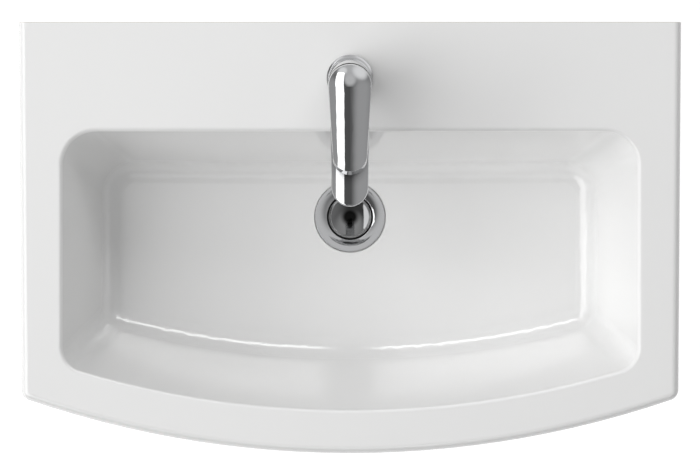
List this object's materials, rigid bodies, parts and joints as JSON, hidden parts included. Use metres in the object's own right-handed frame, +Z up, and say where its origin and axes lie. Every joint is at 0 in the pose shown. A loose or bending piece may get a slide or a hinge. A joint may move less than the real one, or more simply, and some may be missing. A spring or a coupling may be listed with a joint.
{
  "type": "hand basin",
  "caption": "Wall-hung china hand basin with a bowed front, a leaning single-lever mixer tap and a push-open waste.",
  "frame": {"origin": "on the wall plane, midway between the two wall-fixing holes", "axes": "+Z up, +Y towards the wall, +X to the right as seen by the user"},
  "size_m": [0.6, 0.39, 0.3087],
  "materials": {
    "china": "gloss white glaze",
    "chrome": "polished chrome plate",
    "brass": "turned",
    "steel": "zinc-plated or stainless",
    "rubber": "matt",
    "plastic": "moulded",
    "alumina": "lapped"
  },
  "bodies": {
    "fixed": {"basin": "china", "tap_body": "chrome", "base_ring": "chrome", "cover_dome": "chrome", "aerator_housing": "chrome", "waste_body": "chrome", "overflow_ring": "chrome", "cartridge_nut": "brass", "waste_nut": "brass", "clamp_nut": "brass", "fixing_stud": "steel", "clamp_plate": "steel", "click_spring": "steel", "base_seal": "rubber", "clamp_rubber": "rubber", "waste_top_seal": "rubber", "waste_lower_seal": "rubber", "aerator_seal": "rubber", "cartridge_seal": "rubber", "waste_washer": "plastic", "click_housing": "plastic", "aerator_insert": "plastic", "cartridge_base": "plastic", "cartridge_housing": "plastic", "fixed_disc": "alumina"},
    "lever_rotor": {"cartridge_rotor": "plastic", "pivot_pin": "steel"},
    "lever_arm": {"lever": "chrome", "lever_stem": "steel", "lever_screw": "steel"},
    "mixing_disc": {"disc_carrier": "plastic", "moving_disc": "alumina"},
    "plug": {"plug_cap": "chrome", "plug_seal": "rubber", "plug_plunger": "brass"}
  },
  "joints": [
    {"name": "lever_turn", "type": "hinge", "parent": "fixed", "child": "lever_rotor", "pos_m": [0, -0.06269, 0.15318], "axis": [0, -0.1392, 0.9903], "range_deg": [-45, 45]},
    {"name": "lever_lift", "type": "hinge", "parent": "lever_rotor", "child": "lever_arm", "pos_m": [0, -0.06269, 0.15318], "axis": [-1, 0, 0], "range_deg": [0, 20]},
    {"name": "disc_slide", "type": "slide", "parent": "lever_rotor", "child": "mixing_disc", "axis": [0, 0.9903, 0.1392], "range_m": [-0.0065, 0]},
    {"name": "plug_press", "type": "slide", "parent": "fixed", "child": "plug", "axis": [0, 0, 1], "range_m": [0, 0.008], "stiffness_N_per_m": 200, "springref_m": 0.02, "deforming": ["click_spring"]}
  ],
  "couplings": [
    {"joint": "disc_slide", "follows": "lever_lift", "m_per_rad": -0.018506}
  ]
}
